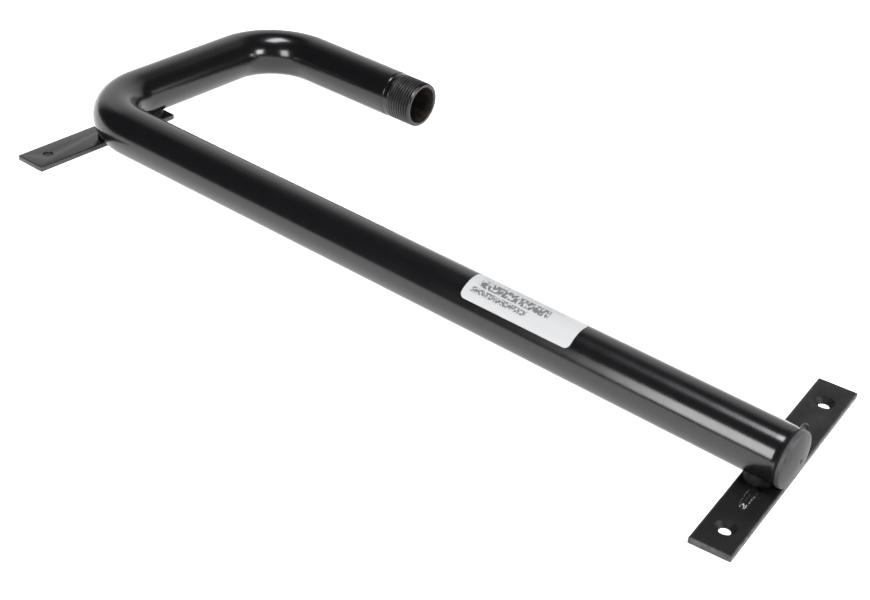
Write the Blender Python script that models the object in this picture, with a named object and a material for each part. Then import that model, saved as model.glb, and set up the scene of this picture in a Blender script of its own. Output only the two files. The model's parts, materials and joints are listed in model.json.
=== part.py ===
"""Bent pipe bar with a closed end, an open threaded end and two welded mounting straps.

A steel pipe is bent twice into a J. The long leg is closed by a welded cap, the short leg
ends in an open male pipe thread, and two flat straps under the pipe carry the bolt holes.

Modelling frame ("bar frame"): the origin is where the axes of the long leg and of the cross-leg
meet, at floor level; +X runs along the long leg to its cap, +Y along the cross-leg, +Z is up.
An empty moves everything so that the world origin is the bottom centre of the whole part.
Every length is in metres.
"""
import math

import bmesh
import bpy
from mathutils import Matrix, Vector

# ---- Pipe ---------------------------------------------------------------------------------
PIPE_RADIUS = 0.0334 / 2           # outside radius of 1 inch pipe
PIPE_WALL = 0.00338                # schedule 40 wall
BORE_RADIUS = PIPE_RADIUS - PIPE_WALL
BEND_RADIUS = 0.0436               # of the centre line
LONG_LEG = 0.5455                  # cross-leg axis to the cap's rim
LEG_SPACING = 0.1814               # between the axes of the two parallel legs
HOOK_LEG = 0.1482                  # cross-leg axis to the threaded end face
PIPE_SIDES = 32                    # a multiple of four, so that the pipe's extremes are exact
BEND_STEPS = 10

# ---- Thread -------------------------------------------------------------------------------
THREAD_PITCH = 0.0254 / 11.5
THREAD_LENGTH = 0.0250
THREAD_DEPTH = 0.8 * THREAD_PITCH
THREAD_SLOPE = 1 / 32              # growth of the radius along a taper of 1 in 16
THREAD_END_RADIUS = 0.0163         # over the crests at the end face
THREAD_FULL_LENGTH = 0.0174        # beyond this the roots run out to the pipe's surface

# ---- Straps -------------------------------------------------------------------------------
STRAP_WIDTH = 0.0240
STRAP_THICKNESS = 0.0038
STRAP_EDGE_RADIUS = 0.0006
STRAP_EDGE_SEGMENTS = 2
HOLE_RADIUS = 0.0033
COUNTERSINK_RADIUS = 0.0058
HOLE_SIDES = 32
HOLE_OVERCUT = 0.001               # how far a cutter stands out of the strap

NEAR_STRAP_CROSSING_X = 0.5326     # where the strap's centre line passes under the pipe
NEAR_STRAP_ANGLE = math.radians(5.4)
NEAR_STRAP_LENGTH = 0.1765
NEAR_STRAP_OFFSET = 0.01655        # strap's middle, along the strap, from the crossing
NEAR_HOLE_SPACING = 0.1359
NEAR_HOLES_MIDDLE = -0.0011        # middle of the two holes, along the strap, from its own middle

FAR_STRAP_X = 0.0038
FAR_STRAP_LENGTH = 0.1196
FAR_STRAP_MIDDLE_Y = 0.0032
FAR_HOLE_MARGIN = 0.01545          # hole's centre to the strap's free end

# ---- Cap and its weld ---------------------------------------------------------------------
CAP_THICKNESS = 0.0041             # at the rim
CAP_CROWN = 0.0030                 # how far the middle stands out of the rim
CAP_RIM_RADIUS = 0.0006
DIMPLE_RADIUS = 0.0013
DIMPLE_DEPTH = 0.0006
CAP_CROWN_STEPS = 5
GROOVE_DEPTH = 0.0012              # 45 degree bevels on the pipe and the cap, filled by the weld

# ---- Fillet welds -------------------------------------------------------------------------
FILLET_START = math.radians(24)    # measured round the pipe from its lowest line
FILLET_END = math.radians(46)
FILLET_TOE = 0.0136                # weld's toe on the strap, from the pipe's axis
FILLET_CROWN = 0.0006              # how far the face bulges
FILLET_END_SIZE = 0.3              # a weld's size at its two ends, as a part of its full size
FILLET_SWELL = 4                   # how fast it grows from there along the weld
FILLET_ARC_STEPS = 5
FILLET_PATH_STEPS = 8
NEAR_FILLET_START_X = 0.5229
NEAR_FILLET_END_X = 0.5391
FAR_OUTER_FILLET_SPAN = (math.radians(209), math.radians(235))
FAR_INNER_FILLET_FIRST_ANGLE = math.radians(197)
FAR_INNER_FILLET_END_Y = 0.0590

# ---- Weld beads that run on along the near strap ------------------------------------------
# name, first and last distance from the pipe's axis, along the strap
BEADS = (("near_strap_bead_front", -0.0143, -0.0349), ("near_strap_bead_back", 0.0349, 0.0555))
BEAD_HALF_WIDTH = 0.0033
BEAD_HEIGHT = 0.0027
BEAD_RIPPLE = 0.12
BEAD_LUMPS = 3
BEAD_STEPS = 14
BEAD_SIDES = 8

# ---- Label --------------------------------------------------------------------------------
LABEL_START_X = 0.3339
LABEL_LENGTH = 0.0762
LABEL_FIRST_ANGLE = math.radians(67)   # round the pipe, from +Y towards +Z
LABEL_LAST_ANGLE = math.radians(146)
LABEL_CORNER = 0.0036
LABEL_THICKNESS = 0.0002
LABEL_CORNER_STEPS = 4
LABEL_MIDDLE_STEPS = 10

# ---- Fits and the vertical layout ---------------------------------------------------------
GAP = 0.0003                       # left between pieces that touch
AXIS_Z = STRAP_THICKNESS + GAP + PIPE_RADIUS
PIPE_END_X = LONG_LEG - CAP_THICKNESS - GAP
SHARP_ANGLE = math.radians(35)

BLACK_PAINT = ("black_paint", (0.012, 0.012, 0.013, 1), 0.22, 0.0)
STRAP_PAINT = ("strap_paint", (0.018, 0.018, 0.019, 1), 0.35, 0.0)
WELD_PAINT = ("weld_paint", (0.015, 0.015, 0.016, 1), 0.30, 0.0)
LABEL_PAPER = ("label_paper", (0.80, 0.81, 0.81, 1), 0.55, 0.0)


# ---- Helpers ------------------------------------------------------------------------------
def clear_scene():
    for item in list(bpy.data.objects):
        bpy.data.objects.remove(item, do_unlink=True)


def make_material(name, colour, roughness, metallic):
    material = bpy.data.materials.get(name)
    if material is None:
        material = bpy.data.materials.new(name)
        material.use_nodes = True
        shader = material.node_tree.nodes["Principled BSDF"]
        shader.inputs["Base Color"].default_value = colour
        shader.inputs["Roughness"].default_value = roughness
        shader.inputs["Metallic"].default_value = metallic
        material.diffuse_color = colour
    return material


def add_object(name, mesh_builder, finish, parent, smooth=True):
    """Make one named object from a bmesh, with outward faces and its own finish."""
    bmesh.ops.recalc_face_normals(mesh_builder, faces=mesh_builder.faces)
    mesh = bpy.data.meshes.new(name)
    mesh_builder.to_mesh(mesh)
    mesh_builder.free()
    if smooth:
        mesh.shade_smooth()
        mesh.set_sharp_from_angle(angle=SHARP_ANGLE)
    mesh.materials.append(make_material(*finish))
    item = bpy.data.objects.new(name, mesh)
    item.parent = parent
    bpy.context.scene.collection.objects.link(item)
    return item


def loft(rings, closed):
    """Skin a list of equal rings of points; closed joins the last ring to the first."""
    builder = bmesh.new()
    skin = [[builder.verts.new(point) for point in ring] for ring in rings]
    sides = len(rings[0])
    last = len(skin) if closed else len(skin) - 1
    for index in range(last):
        ring, following = skin[index], skin[(index + 1) % len(skin)]
        for side in range(sides):
            after = (side + 1) % sides
            builder.faces.new((ring[side], ring[after], following[after], following[side]))
    if not closed:
        builder.faces.new(skin[0])
        builder.faces.new(skin[-1])
    return builder


def circle(centre, heading, radius, sides=PIPE_SIDES):
    """Points of a circle whose axis is level and points along heading, an angle in plan."""
    across = Vector((-math.sin(heading), math.cos(heading), 0))
    turns = (2 * math.pi * side / sides for side in range(sides))
    up = Vector((0, 0, 1))
    return [centre + radius * (across * math.cos(turn) + up * math.sin(turn)) for turn in turns]


# ---- Pipe ---------------------------------------------------------------------------------
def axis_point(x, y):
    return Vector((x, y, AXIS_Z))


def bend_stations(centre, first, last):
    """Centre-line points and headings round one bend, from the angle first to the angle last."""
    stations = []
    for step in range(BEND_STEPS + 1):
        angle = first + (last - first) * step / BEND_STEPS
        spoke = Vector((math.cos(angle), math.sin(angle), 0))
        stations.append((centre + BEND_RADIUS * spoke, angle - math.pi / 2))
    return stations


def pipe_stations():
    """Where the pipe's rings stand, from the capped end round both bends to the thread."""
    stations = [(axis_point(PIPE_END_X - GROOVE_DEPTH, 0), math.pi)]
    first_bend = axis_point(BEND_RADIUS, BEND_RADIUS)
    second_bend = axis_point(BEND_RADIUS, LEG_SPACING - BEND_RADIUS)
    stations += bend_stations(first_bend, 1.5 * math.pi, math.pi)
    stations += bend_stations(second_bend, math.pi, math.pi / 2)
    stations.append((axis_point(HOOK_LEG - THREAD_LENGTH, LEG_SPACING), 0))
    return stations


def crest_radius(depth):
    """Radius over the thread's crests at a distance from the end face."""
    return min(PIPE_RADIUS, THREAD_END_RADIUS + depth * THREAD_SLOPE)


def root_radius(depth):
    """Radius at the thread's roots, running out to the pipe's surface past the full thread."""
    root = THREAD_END_RADIUS - THREAD_DEPTH + depth * THREAD_SLOPE
    run_out = max(0, depth - THREAD_FULL_LENGTH) / (THREAD_LENGTH - THREAD_FULL_LENGTH)
    return root + (PIPE_RADIUS - root) * min(1, run_out)


def thread_rings():
    """Alternate crests and roots, from the pipe's body to the end face, which stands at a root."""
    half_pitch = THREAD_PITCH / 2
    steps = int(THREAD_LENGTH / half_pitch)
    rings = []
    for step in range(steps - 1, -1, -1):
        depth = step * half_pitch
        radius = root_radius(depth) if step % 2 == 0 else crest_radius(depth)
        rings.append(circle(axis_point(HOOK_LEG - depth, LEG_SPACING), 0, radius))
    return rings


def build_pipe(parent):
    stations = pipe_stations()
    capped_end = axis_point(PIPE_END_X, 0)
    mouth = axis_point(HOOK_LEG, LEG_SPACING)
    outside = [circle(capped_end, math.pi, PIPE_RADIUS - GROOVE_DEPTH)]
    outside += [circle(centre, heading, PIPE_RADIUS) for centre, heading in stations]
    inside = [circle(capped_end, math.pi, BORE_RADIUS)]
    inside += [circle(centre, heading, BORE_RADIUS) for centre, heading in stations[1:-1]]
    inside.append(circle(mouth, 0, BORE_RADIUS))
    rings = outside + thread_rings() + inside[::-1]
    add_object("bent_pipe", loft(rings, closed=True), BLACK_PAINT, parent)


# ---- Closed end ---------------------------------------------------------------------------
def crown_x(radius):
    """How far +X the cap's slightly domed face stands at a distance from its middle."""
    return LONG_LEG + CAP_CROWN * (1 - (radius / PIPE_RADIUS) ** 2)


def cap_profile():
    """Pairs of x and radius, from the face inside the pipe's end to the bottom of the dimple."""
    back = LONG_LEG - CAP_THICKNESS
    rim = PIPE_RADIUS - CAP_RIM_RADIUS
    profile = [(back, PIPE_RADIUS - GROOVE_DEPTH), (back + GROOVE_DEPTH, PIPE_RADIUS)]
    profile += [(LONG_LEG - CAP_RIM_RADIUS, PIPE_RADIUS), (crown_x(rim), rim)]
    for step in range(1, CAP_CROWN_STEPS):
        radius = rim + (DIMPLE_RADIUS - rim) * step / CAP_CROWN_STEPS
        profile.append((crown_x(radius), radius))
    profile.append((crown_x(DIMPLE_RADIUS), DIMPLE_RADIUS))
    profile.append((crown_x(0) - DIMPLE_DEPTH, DIMPLE_RADIUS / 2))
    return profile


def build_end_cap(parent):
    rings = [circle(axis_point(x, 0), 0, radius) for x, radius in cap_profile()]
    add_object("end_cap", loft(rings, closed=False), BLACK_PAINT, parent)


def build_cap_weld(parent):
    """A ring of weld in the V groove between the pipe and the cap, dressed flush."""
    middle = PIPE_END_X + GAP / 2
    half = GROOVE_DEPTH + GAP / 2 - GAP * math.sqrt(2)
    profile = ((middle - half, PIPE_RADIUS), (middle + half, PIPE_RADIUS), (middle, PIPE_RADIUS - half))
    rings = [circle(axis_point(x, 0), 0, radius) for x, radius in profile]
    add_object("end_cap_weld", loft(rings, closed=True), WELD_PAINT, parent)


# ---- Straps -------------------------------------------------------------------------------
def level_circle(x, y, z, radius):
    turns = (2 * math.pi * side / HOLE_SIDES for side in range(HOLE_SIDES))
    return [Vector((x + radius * math.cos(turn), y + radius * math.sin(turn), z)) for turn in turns]


def add_hole(strap, y, countersunk):
    """Cut one bolt hole through a strap, at a distance y along the strap."""
    top = STRAP_THICKNESS + HOLE_OVERCUT
    levels = [(-HOLE_OVERCUT, HOLE_RADIUS)]
    if countersunk:
        levels.append((STRAP_THICKNESS - (COUNTERSINK_RADIUS - HOLE_RADIUS), HOLE_RADIUS))
        levels.append((top, COUNTERSINK_RADIUS + HOLE_OVERCUT))
    else:
        levels.append((top, HOLE_RADIUS))
    rings = [level_circle(0, y, z, radius) for z, radius in levels]
    cutter = add_object(strap.name + "_cutter", loft(rings, closed=False), STRAP_PAINT, strap, smooth=False)
    cutter.hide_render = True
    cutter.display_type = "WIRE"
    cut = strap.modifiers.new("bolt hole", "BOOLEAN")
    cut.operation = "DIFFERENCE"
    cut.solver = "EXACT"
    cut.object = cutter


def build_strap(name, place, length, holes, countersunk, parent):
    """A flat bar along its own Y axis, standing on the floor, with rounded edges and bolt holes."""
    builder = bmesh.new()
    size = Matrix.Diagonal((STRAP_WIDTH, length, STRAP_THICKNESS, 1))
    lift = Matrix.Translation((0, 0, STRAP_THICKNESS / 2))
    bmesh.ops.create_cube(builder, size=1, matrix=lift @ size)
    strap = add_object(name, builder, STRAP_PAINT, parent)
    strap.matrix_local = place
    edges = strap.modifiers.new("rounded edges", "BEVEL")
    edges.width = STRAP_EDGE_RADIUS
    edges.segments = STRAP_EDGE_SEGMENTS
    for y in holes:
        add_hole(strap, y, countersunk)


def near_strap_place(along=0):
    """Matrix of the near strap's frame, moved along the strap from its crossing with the pipe."""
    crossing = Matrix.Translation((NEAR_STRAP_CROSSING_X, 0, 0))
    return crossing @ Matrix.Rotation(NEAR_STRAP_ANGLE, 4, "Z") @ Matrix.Translation((0, along, 0))


def build_straps(parent):
    half_spacing = NEAR_HOLE_SPACING / 2
    near_place = near_strap_place(NEAR_STRAP_OFFSET)
    near_holes = (NEAR_HOLES_MIDDLE - half_spacing, NEAR_HOLES_MIDDLE + half_spacing)
    build_strap("near_strap", near_place, NEAR_STRAP_LENGTH, near_holes, True, parent)
    far_place = Matrix.Translation((FAR_STRAP_X, FAR_STRAP_MIDDLE_Y, 0))
    free_end_hole = FAR_HOLE_MARGIN - FAR_STRAP_LENGTH / 2
    build_strap("far_strap", far_place, FAR_STRAP_LENGTH, (free_end_hole,), False, parent)


# ---- Fillet welds -------------------------------------------------------------------------
def fillet_profile(size):
    """Offsets from the pipe's axis and heights of a weld between the pipe and a strap's top."""
    radius = PIPE_RADIUS + GAP
    floor = STRAP_THICKNESS + GAP
    profile = []
    for step in range(FILLET_ARC_STEPS + 1):
        angle = FILLET_START + size * (FILLET_END - FILLET_START) * step / FILLET_ARC_STEPS
        profile.append(Vector((radius * math.sin(angle), AXIS_Z - radius * math.cos(angle))))
    toe = Vector((profile[0].x + size * (FILLET_TOE - profile[0].x), floor))
    outward = (profile[-1] - toe).orthogonal().normalized()
    middle = (profile[-1] + toe) / 2
    crown = middle + size * FILLET_CROWN * (outward if outward.x > 0 else -outward)
    return profile + [crown, toe, Vector((profile[0].x, floor))]


def sweep(path):
    """Carry the fillet's profile along pairs of a plan point and the direction it faces."""
    up = Vector((0, 0, 1))
    rings = []
    for index, (spot, side) in enumerate(path):
        part = index / (len(path) - 1)
        size = min(1, FILLET_END_SIZE + FILLET_SWELL * min(part, 1 - part))
        rings.append([spot + side * corner.x + up * corner.y for corner in fillet_profile(size)])
    return loft(rings, closed=False)


def straight_path(start, end, side):
    steps = (step / FILLET_PATH_STEPS for step in range(FILLET_PATH_STEPS + 1))
    return [(start.lerp(end, part), side) for part in steps]


def bend_path(first, last, outward):
    """A path round the first bend; outward is 1 on the bend's outside and -1 on its inside."""
    path = []
    for step in range(FILLET_PATH_STEPS + 1):
        angle = first + (last - first) * step / FILLET_PATH_STEPS
        spoke = Vector((math.cos(angle), math.sin(angle), 0))
        centre = Vector((BEND_RADIUS, BEND_RADIUS, 0))
        path.append((centre + BEND_RADIUS * spoke, outward * spoke))
    return path


def build_strap_welds(parent):
    start = Vector((NEAR_FILLET_START_X, 0, 0))
    end = Vector((NEAR_FILLET_END_X, 0, 0))
    for name, side in (("near_strap_weld_front", -1), ("near_strap_weld_back", 1)):
        path = straight_path(start, end, Vector((0, side, 0)))
        add_object(name, sweep(path), WELD_PAINT, parent)
    outer = bend_path(*FAR_OUTER_FILLET_SPAN, 1)
    add_object("far_strap_weld_outer", sweep(outer), WELD_PAINT, parent)
    inner = bend_path(FAR_INNER_FILLET_FIRST_ANGLE, math.pi, -1)
    bend_end = Vector((0, BEND_RADIUS, 0))
    weld_end = Vector((0, FAR_INNER_FILLET_END_Y, 0))
    cross_leg = straight_path(bend_end, weld_end, Vector((1, 0, 0)))
    add_object("far_strap_weld_inner", sweep(inner + cross_leg[1:]), WELD_PAINT, parent)


# ---- Weld beads that run on along the near strap ------------------------------------------
def bead_ring(along, part):
    """One cross-section of a bead: a low arch on the strap that thins out at both ends."""
    lump = 1 - BEAD_RIPPLE * math.cos(2 * math.pi * part * BEAD_LUMPS)
    swell = math.sqrt(math.sin(math.pi * part)) * lump
    floor = STRAP_THICKNESS + GAP
    ring = []
    for side in range(BEAD_SIDES + 1):
        turn = math.pi * side / BEAD_SIDES
        across = BEAD_HALF_WIDTH * swell * math.cos(turn)
        ring.append(Vector((across, along, floor + BEAD_HEIGHT * swell * math.sin(turn))))
    return ring


def build_beads(parent):
    for name, first, last in BEADS:
        rings = []
        for step in range(1, BEAD_STEPS):
            part = step / BEAD_STEPS
            rings.append(bead_ring(first + (last - first) * part, part))
        bead = add_object(name, loft(rings, closed=False), WELD_PAINT, parent)
        bead.matrix_local = near_strap_place()


# ---- Label --------------------------------------------------------------------------------
def label_inset(distance):
    """How much shorter a row of the label is, at a distance from its long edge."""
    inside = max(0, LABEL_CORNER - distance)
    return LABEL_CORNER - math.sqrt(LABEL_CORNER ** 2 - inside ** 2)


def label_rows(width):
    """Distances of the label's rows from its first long edge, close together at the corners."""
    corner = [LABEL_CORNER * (1 - math.cos(math.pi / 2 * step / LABEL_CORNER_STEPS))
              for step in range(LABEL_CORNER_STEPS + 1)]
    middle = [LABEL_CORNER + (width - 2 * LABEL_CORNER) * step / LABEL_MIDDLE_STEPS
              for step in range(1, LABEL_MIDDLE_STEPS)]
    return corner + middle + [width - distance for distance in reversed(corner)]


def build_label(parent):
    inner = PIPE_RADIUS + GAP
    outer = inner + LABEL_THICKNESS
    width = inner * (LABEL_LAST_ANGLE - LABEL_FIRST_ANGLE)
    rings = []
    for distance in label_rows(width):
        angle = LABEL_FIRST_ANGLE + distance / inner
        inset = label_inset(min(distance, width - distance))
        ends = (LABEL_START_X + inset, LABEL_START_X + LABEL_LENGTH - inset)
        spoke = Vector((0, math.cos(angle), math.sin(angle)))
        corners = ((ends[0], inner), (ends[1], inner), (ends[1], outer), (ends[0], outer))
        rings.append([axis_point(x, 0) + spoke * radius for x, radius in corners])
    add_object("label", loft(rings, closed=False), LABEL_PAPER, parent)


# ---- Whole part ---------------------------------------------------------------------------
def strap_reach():
    """How far the near strap's corners reach: its greatest x and its least y."""
    front = NEAR_STRAP_OFFSET - NEAR_STRAP_LENGTH / 2
    place = near_strap_place()
    corners = [place @ Vector((side * STRAP_WIDTH / 2, front, 0)) for side in (-1, 1)]
    return max(corner.x for corner in corners), min(corner.y for corner in corners)


def bar_frame():
    """The empty that puts the world origin at the bottom centre of the whole part."""
    greatest_x, least_y = strap_reach()
    middle_x = (greatest_x - PIPE_RADIUS) / 2
    middle_y = (least_y + LEG_SPACING + PIPE_RADIUS) / 2
    frame = bpy.data.objects.new("bar_frame", None)
    frame.location = (-middle_x, -middle_y, 0)
    bpy.context.scene.collection.objects.link(frame)
    return frame


def main():
    clear_scene()
    frame = bar_frame()
    build_pipe(frame)
    build_end_cap(frame)
    build_cap_weld(frame)
    build_straps(frame)
    build_strap_welds(frame)
    build_beads(frame)
    build_label(frame)


main()
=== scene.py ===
"""The looks of the bent pipe bar: fine meshes, materials, floor, light and camera round the CAD frame.

The bar is a black painted steel pipe bent into a J. The long leg runs along +X to its closed end, the
cross leg along +Y, and the short leg back along +X to an open end with a male pipe thread. Lengths are
in metres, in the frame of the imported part.
"""
import json
import math

import bmesh
import bpy
from mathutils import Matrix, Vector


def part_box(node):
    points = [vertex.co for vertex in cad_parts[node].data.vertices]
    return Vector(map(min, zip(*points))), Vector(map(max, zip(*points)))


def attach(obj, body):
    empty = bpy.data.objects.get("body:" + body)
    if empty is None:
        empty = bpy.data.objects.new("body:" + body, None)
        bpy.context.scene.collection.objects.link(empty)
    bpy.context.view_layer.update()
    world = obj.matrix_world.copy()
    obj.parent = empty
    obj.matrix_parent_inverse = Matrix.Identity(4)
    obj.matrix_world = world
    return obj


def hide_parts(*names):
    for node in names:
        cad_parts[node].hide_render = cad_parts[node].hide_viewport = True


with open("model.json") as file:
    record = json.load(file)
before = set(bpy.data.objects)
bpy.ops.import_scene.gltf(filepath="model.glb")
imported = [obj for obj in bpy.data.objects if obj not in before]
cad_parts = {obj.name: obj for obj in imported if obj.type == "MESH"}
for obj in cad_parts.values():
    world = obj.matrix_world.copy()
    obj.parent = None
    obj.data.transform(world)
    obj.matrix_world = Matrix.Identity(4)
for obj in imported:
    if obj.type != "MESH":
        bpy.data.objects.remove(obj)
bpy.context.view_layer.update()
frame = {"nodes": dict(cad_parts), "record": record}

TURN = 2 * math.pi
TINY = 1e-6
SHARP_ANGLE = math.radians(38)

# The pipe and its path
PIPE_LOW, PIPE_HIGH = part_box("bent_pipe")
PIPE_RADIUS = (PIPE_HIGH.z - PIPE_LOW.z) / 2
AXIS_Z = (PIPE_HIGH.z + PIPE_LOW.z) / 2
LONG_LEG_Y = PIPE_LOW.y + PIPE_RADIUS
CROSS_LEG_X = PIPE_LOW.x + PIPE_RADIUS
SHORT_LEG_Y = PIPE_HIGH.y - PIPE_RADIUS
CLOSED_END_X = PIPE_HIGH.x
MOUNTS = {mount["name"]: mount for mount in frame["record"]["mounts"]}
MOUTH_X = MOUNTS["threaded_end_face"]["pos_m"][0]
PIPE_WALL = 0.00338
BORE_RADIUS = PIPE_RADIUS - PIPE_WALL
BEND_RADIUS = 0.0436
BEND_FLATTENING = 0.02
PIPE_SIDES = 144
BEND_STEPS = 48
LEG_STEP = 0.006
BORE_STEP = 0.008
END_TAPER_LENGTH = 0.0030
END_TAPER_DEPTH = 0.0007
END_TAPER_CURVE = 1.5
END_TAPER_STEPS = 8
BORE_CHAMFER = 0.0004
PAINT_SLOT, BORE_SLOT, THREAD_SLOT = range(3)

# The thread at the open end
THREAD_PITCH = 0.0254 / 11.5
THREAD_DEPTH = 0.0014
THREAD_SHOULDER_TO = 0.0240
THREAD_SHOULDER_DROP = 0.0004
THREAD_SLOPE = 1 / 32
THREAD_FACE_CREST = 0.0163
THREAD_FULL_LENGTH = 0.0174
THREAD_LENGTH = 0.0262
THREAD_FACE_EDGE = 0.0156
THREAD_PAINTED_FROM = 0.0205
THREAD_DULL_FROM = 0.0020
RINGS_PER_PITCH = 14

# The closed end
CAP_LOW, CAP_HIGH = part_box("end_cap")
CAP_BACK_X = CAP_LOW.x
CAP_CROWN_X = CAP_HIGH.x
CAP_CROWN = 0.0030
CAP_CROWN_TRIM = 0.0004
CAP_RIM_X = CAP_CROWN_X - CAP_CROWN + CAP_CROWN_TRIM
CAP_BACK_DROP = 0.0009
CAP_SIDE_LENGTH = 0.0032
CAP_SIDE_X = CAP_RIM_X - CAP_SIDE_LENGTH
CAP_SHOULDER_TURN = 0.78
CAP_SHOULDER_LENGTH = 0.0016
CAP_SHOULDER_DROP = 0.0009
CAP_SHOULDER_STEPS = 12
CAP_FACE_STEPS = 60
DIMPLE_RADIUS = 0.0017
DIMPLE_DEPTH = 0.0009
DIMPLE_SHIFT = Vector((0, 0.0003, 0.0011))
WELD_RING_LOW, WELD_RING_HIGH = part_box("end_cap_weld")
WELD_RING_SINK = 0.0008
WELD_RING_STEPS = 10
WELD_RING_WAVES = ((7, 1, 0.00006), (17, 0, 0.00004))  # (waves round the ring, phase, height)

# The straps
STRAP_WIDTH = 0.0240
STRAP_THICKNESS = 0.0038
STRAP_EDGE = 0.0007
# Width of the band along a strap's edges that is painted lighter: wear, and a painted highlight.
STRAP_EDGE_WEAR_AND_SHEEN = 0.0013
STRAP_EDGE_STEPS = 5
NEAR_STRAP_ANGLE = math.radians(5.4)
NEAR_STRAP_LENGTH = 0.1765
NEAR_HOLE_SPACING = 0.1359
NEAR_HOLES_MIDDLE = -0.0011
FAR_HOLE_MARGIN = 0.01545
HOLE_RADIUS = 0.0033
COUNTERSINK_RADIUS = 0.0058
HOLE_LIP = 0.0004
HOLE_SIDES = 72
LIP_STEPS = 5

# The welds
BEAD_LENGTH = 0.0206
BEAD_HALF_WIDTH = 0.0033
BEAD_HEIGHT = 0.0027
BEAD_STEPS = 72
BEAD_ARC_STEPS = 20
BEAD_RIPPLE_PITCH = 0.0050
BEAD_RIPPLE = 0.02
BEAD_END_BLUNTNESS = 3.2
BEAD_MEAN_WIDTH = 0.90
BEAD_WIDTH_LUMP = 0.08
BEAD_MEAN_HEIGHT = 0.86
BEAD_HEIGHT_LUMP = 0.10
BEAD_BOW = 0.35 * BEAD_RIPPLE_PITCH
BEAD_LUMPS = ((0.6, 11, 1), (0.4, 23, 2.1))  # (share, waves along the bead, use of the seed)
BEAD_SINK = 0.0004
FILLET_FOOT = math.radians(20)
FILLET_TOP = math.radians(44)
FILLET_TOE = 0.0134
FILLET_SINK = 0.0002
FILLET_CROWN = 0.0002
FILLET_RIPPLE = 0.0003
FILLET_RIPPLE_PITCH = 0.0019
FILLET_RIPPLE_DEPTH = 0.5
FILLET_END_BLUNTNESS = 3
FILLET_END_SIZE = 0.35
FILLET_STEPS = 64
FILLET_ARC_STEPS = 8

# The label
LABEL_LOW, LABEL_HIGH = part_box("label")
LABEL_FROM = math.radians(67)
LABEL_TO = math.radians(146)
LABEL_THICKNESS = 0.0002
LABEL_CORNER = 0.0036
LABEL_CORNER_STEPS = 10
LABEL_COLUMNS = 72
LABEL_ROWS = 28

# Colours, linear
PAINT_BLACK = (0.0050, 0.0050, 0.0056, 1)
PAINT_DUST = (0.0120, 0.0118, 0.0120, 1)
STRAP_BLACK = (0.0045, 0.0045, 0.0048, 1)
# A pale grey for rubbed wear and weld spatter, also used as a painted highlight on strap edges and a painted
# glint on thread crests.
LIGHT_MARKS_AND_PAINTED_GLINT = (0.0900, 0.0880, 0.0880, 1)
CAP_FACE_DARK = (0.0160, 0.0160, 0.0170, 1)
CAP_FACE_DUSTY = (0.0260, 0.0260, 0.0270, 1)
RIM_DARK = (0.0260, 0.0260, 0.0270, 1)
RIM_DUSTY = (0.0500, 0.0490, 0.0510, 1)
WELD_BLACK = (0.0060, 0.0060, 0.0064, 1)
THREAD_BLACK = (0.0060, 0.0057, 0.0057, 1)
BORE_BROWN = (0.0110, 0.0085, 0.0075, 1)
BORE_RUST = (0.0260, 0.0170, 0.0120, 1)
LABEL_WHITE = (0.44, 0.445, 0.445, 1)
LABEL_GREY_INK = (0.17, 0.175, 0.18, 1)
LABEL_DARK_INK = (0.05, 0.055, 0.06, 1)

# The print: each row as shares of the label's length and width, with its strokes and its strength
PRINT_PALE = {"start": 0.06, "end": 0.80, "low": 0.80, "high": 0.93, "cells": 90, "fill": 0.50}
PRINT_BOLD = {"start": 0.09, "end": 0.72, "low": 0.46, "high": 0.76, "cells": 46, "fill": 0.46}
PRINT_SMALL = {"start": 0.06, "end": 0.56, "low": 0.24, "high": 0.41, "cells": 62, "fill": 0.46}
PRINT_PALE_STRENGTH = 0.55
PRINT_BOLD_STRENGTH = 0.85
PRINT_SMALL_STRENGTH = 0.8
PRINT_ROW_EDGE = 0.012
PRINT_STROKE_EDGE = 0.04
PRINT_STROKES_HIGH = 2.4

# The range that a noise mostly stays in
NOISE_LOW = 0.3
NOISE_HIGH = 0.7

# Floor, light and camera
FLOOR_WHITE = (0.90, 0.90, 0.90, 1)
FLOOR_GLOW = 0.92
FLOOR_LOW = Vector((-1.60, -0.34, 0))
FLOOR_HIGH = Vector((0.75, 1.60, 0))
BACKDROP_AZIMUTH = math.radians(-35)
BACKDROP_INNER = math.cos(math.radians(42))
BACKDROP_OUTER = math.cos(math.radians(58))
BACKDROP_TOP_START = math.sin(math.radians(36))
BACKDROP_TOP_END = math.sin(math.radians(56))
BACKDROP_GLOW = 1.1
ROOM_GLOW = 0.02
CAMERA_PLACE = Vector((0.49656, -0.69451, 0.50555))
CAMERA_AZIMUTH = math.radians(35.86)
CAMERA_ELEVATION = math.radians(32.51)
CAMERA_ROLL = math.radians(5.465)
SENSOR_WIDTH = 36
FOCAL_LENGTH = 64.14
SOFTBOXES = (
    {"name": "overhead_softbox", "place": (0.0, -0.20, 4.0), "target": (0.0, -0.1, 0), "width": 1.8,
     "height": 1.2, "radiance": 17, "colour": (0.96, 0.96, 1.0)},
    {"name": "front_softbox", "place": (0.035, -0.85, 0.33), "target": (0.035, 0, 0.02), "width": 0.38,
     "height": 0.50, "radiance": 12, "colour": (1.0, 1.0, 1.0)},
    {"name": "side_lamp", "place": (1.0, 0.17, 0.52), "target": (0.0, 0.0, 0.02), "width": 0.42,
     "height": 0.42, "radiance": 19, "colour": (1.0, 1.0, 1.0)},
    {"name": "rear_lamp", "place": (0.85, 0.66, 0.27), "target": (0.26, -0.05, 0.0), "width": 0.22,
     "height": 0.22, "radiance": 7, "colour": (1.0, 1.0, 1.0)},
)


# ---------------------------------------------------------------- meshes

def add_object(name, mesh, materials):
    """An object for a mesh, with its materials, linked to the scene."""
    for material in materials:
        mesh.materials.append(material)
    piece = bpy.data.objects.new(name, mesh)
    bpy.context.scene.collection.objects.link(piece)
    return piece


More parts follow.
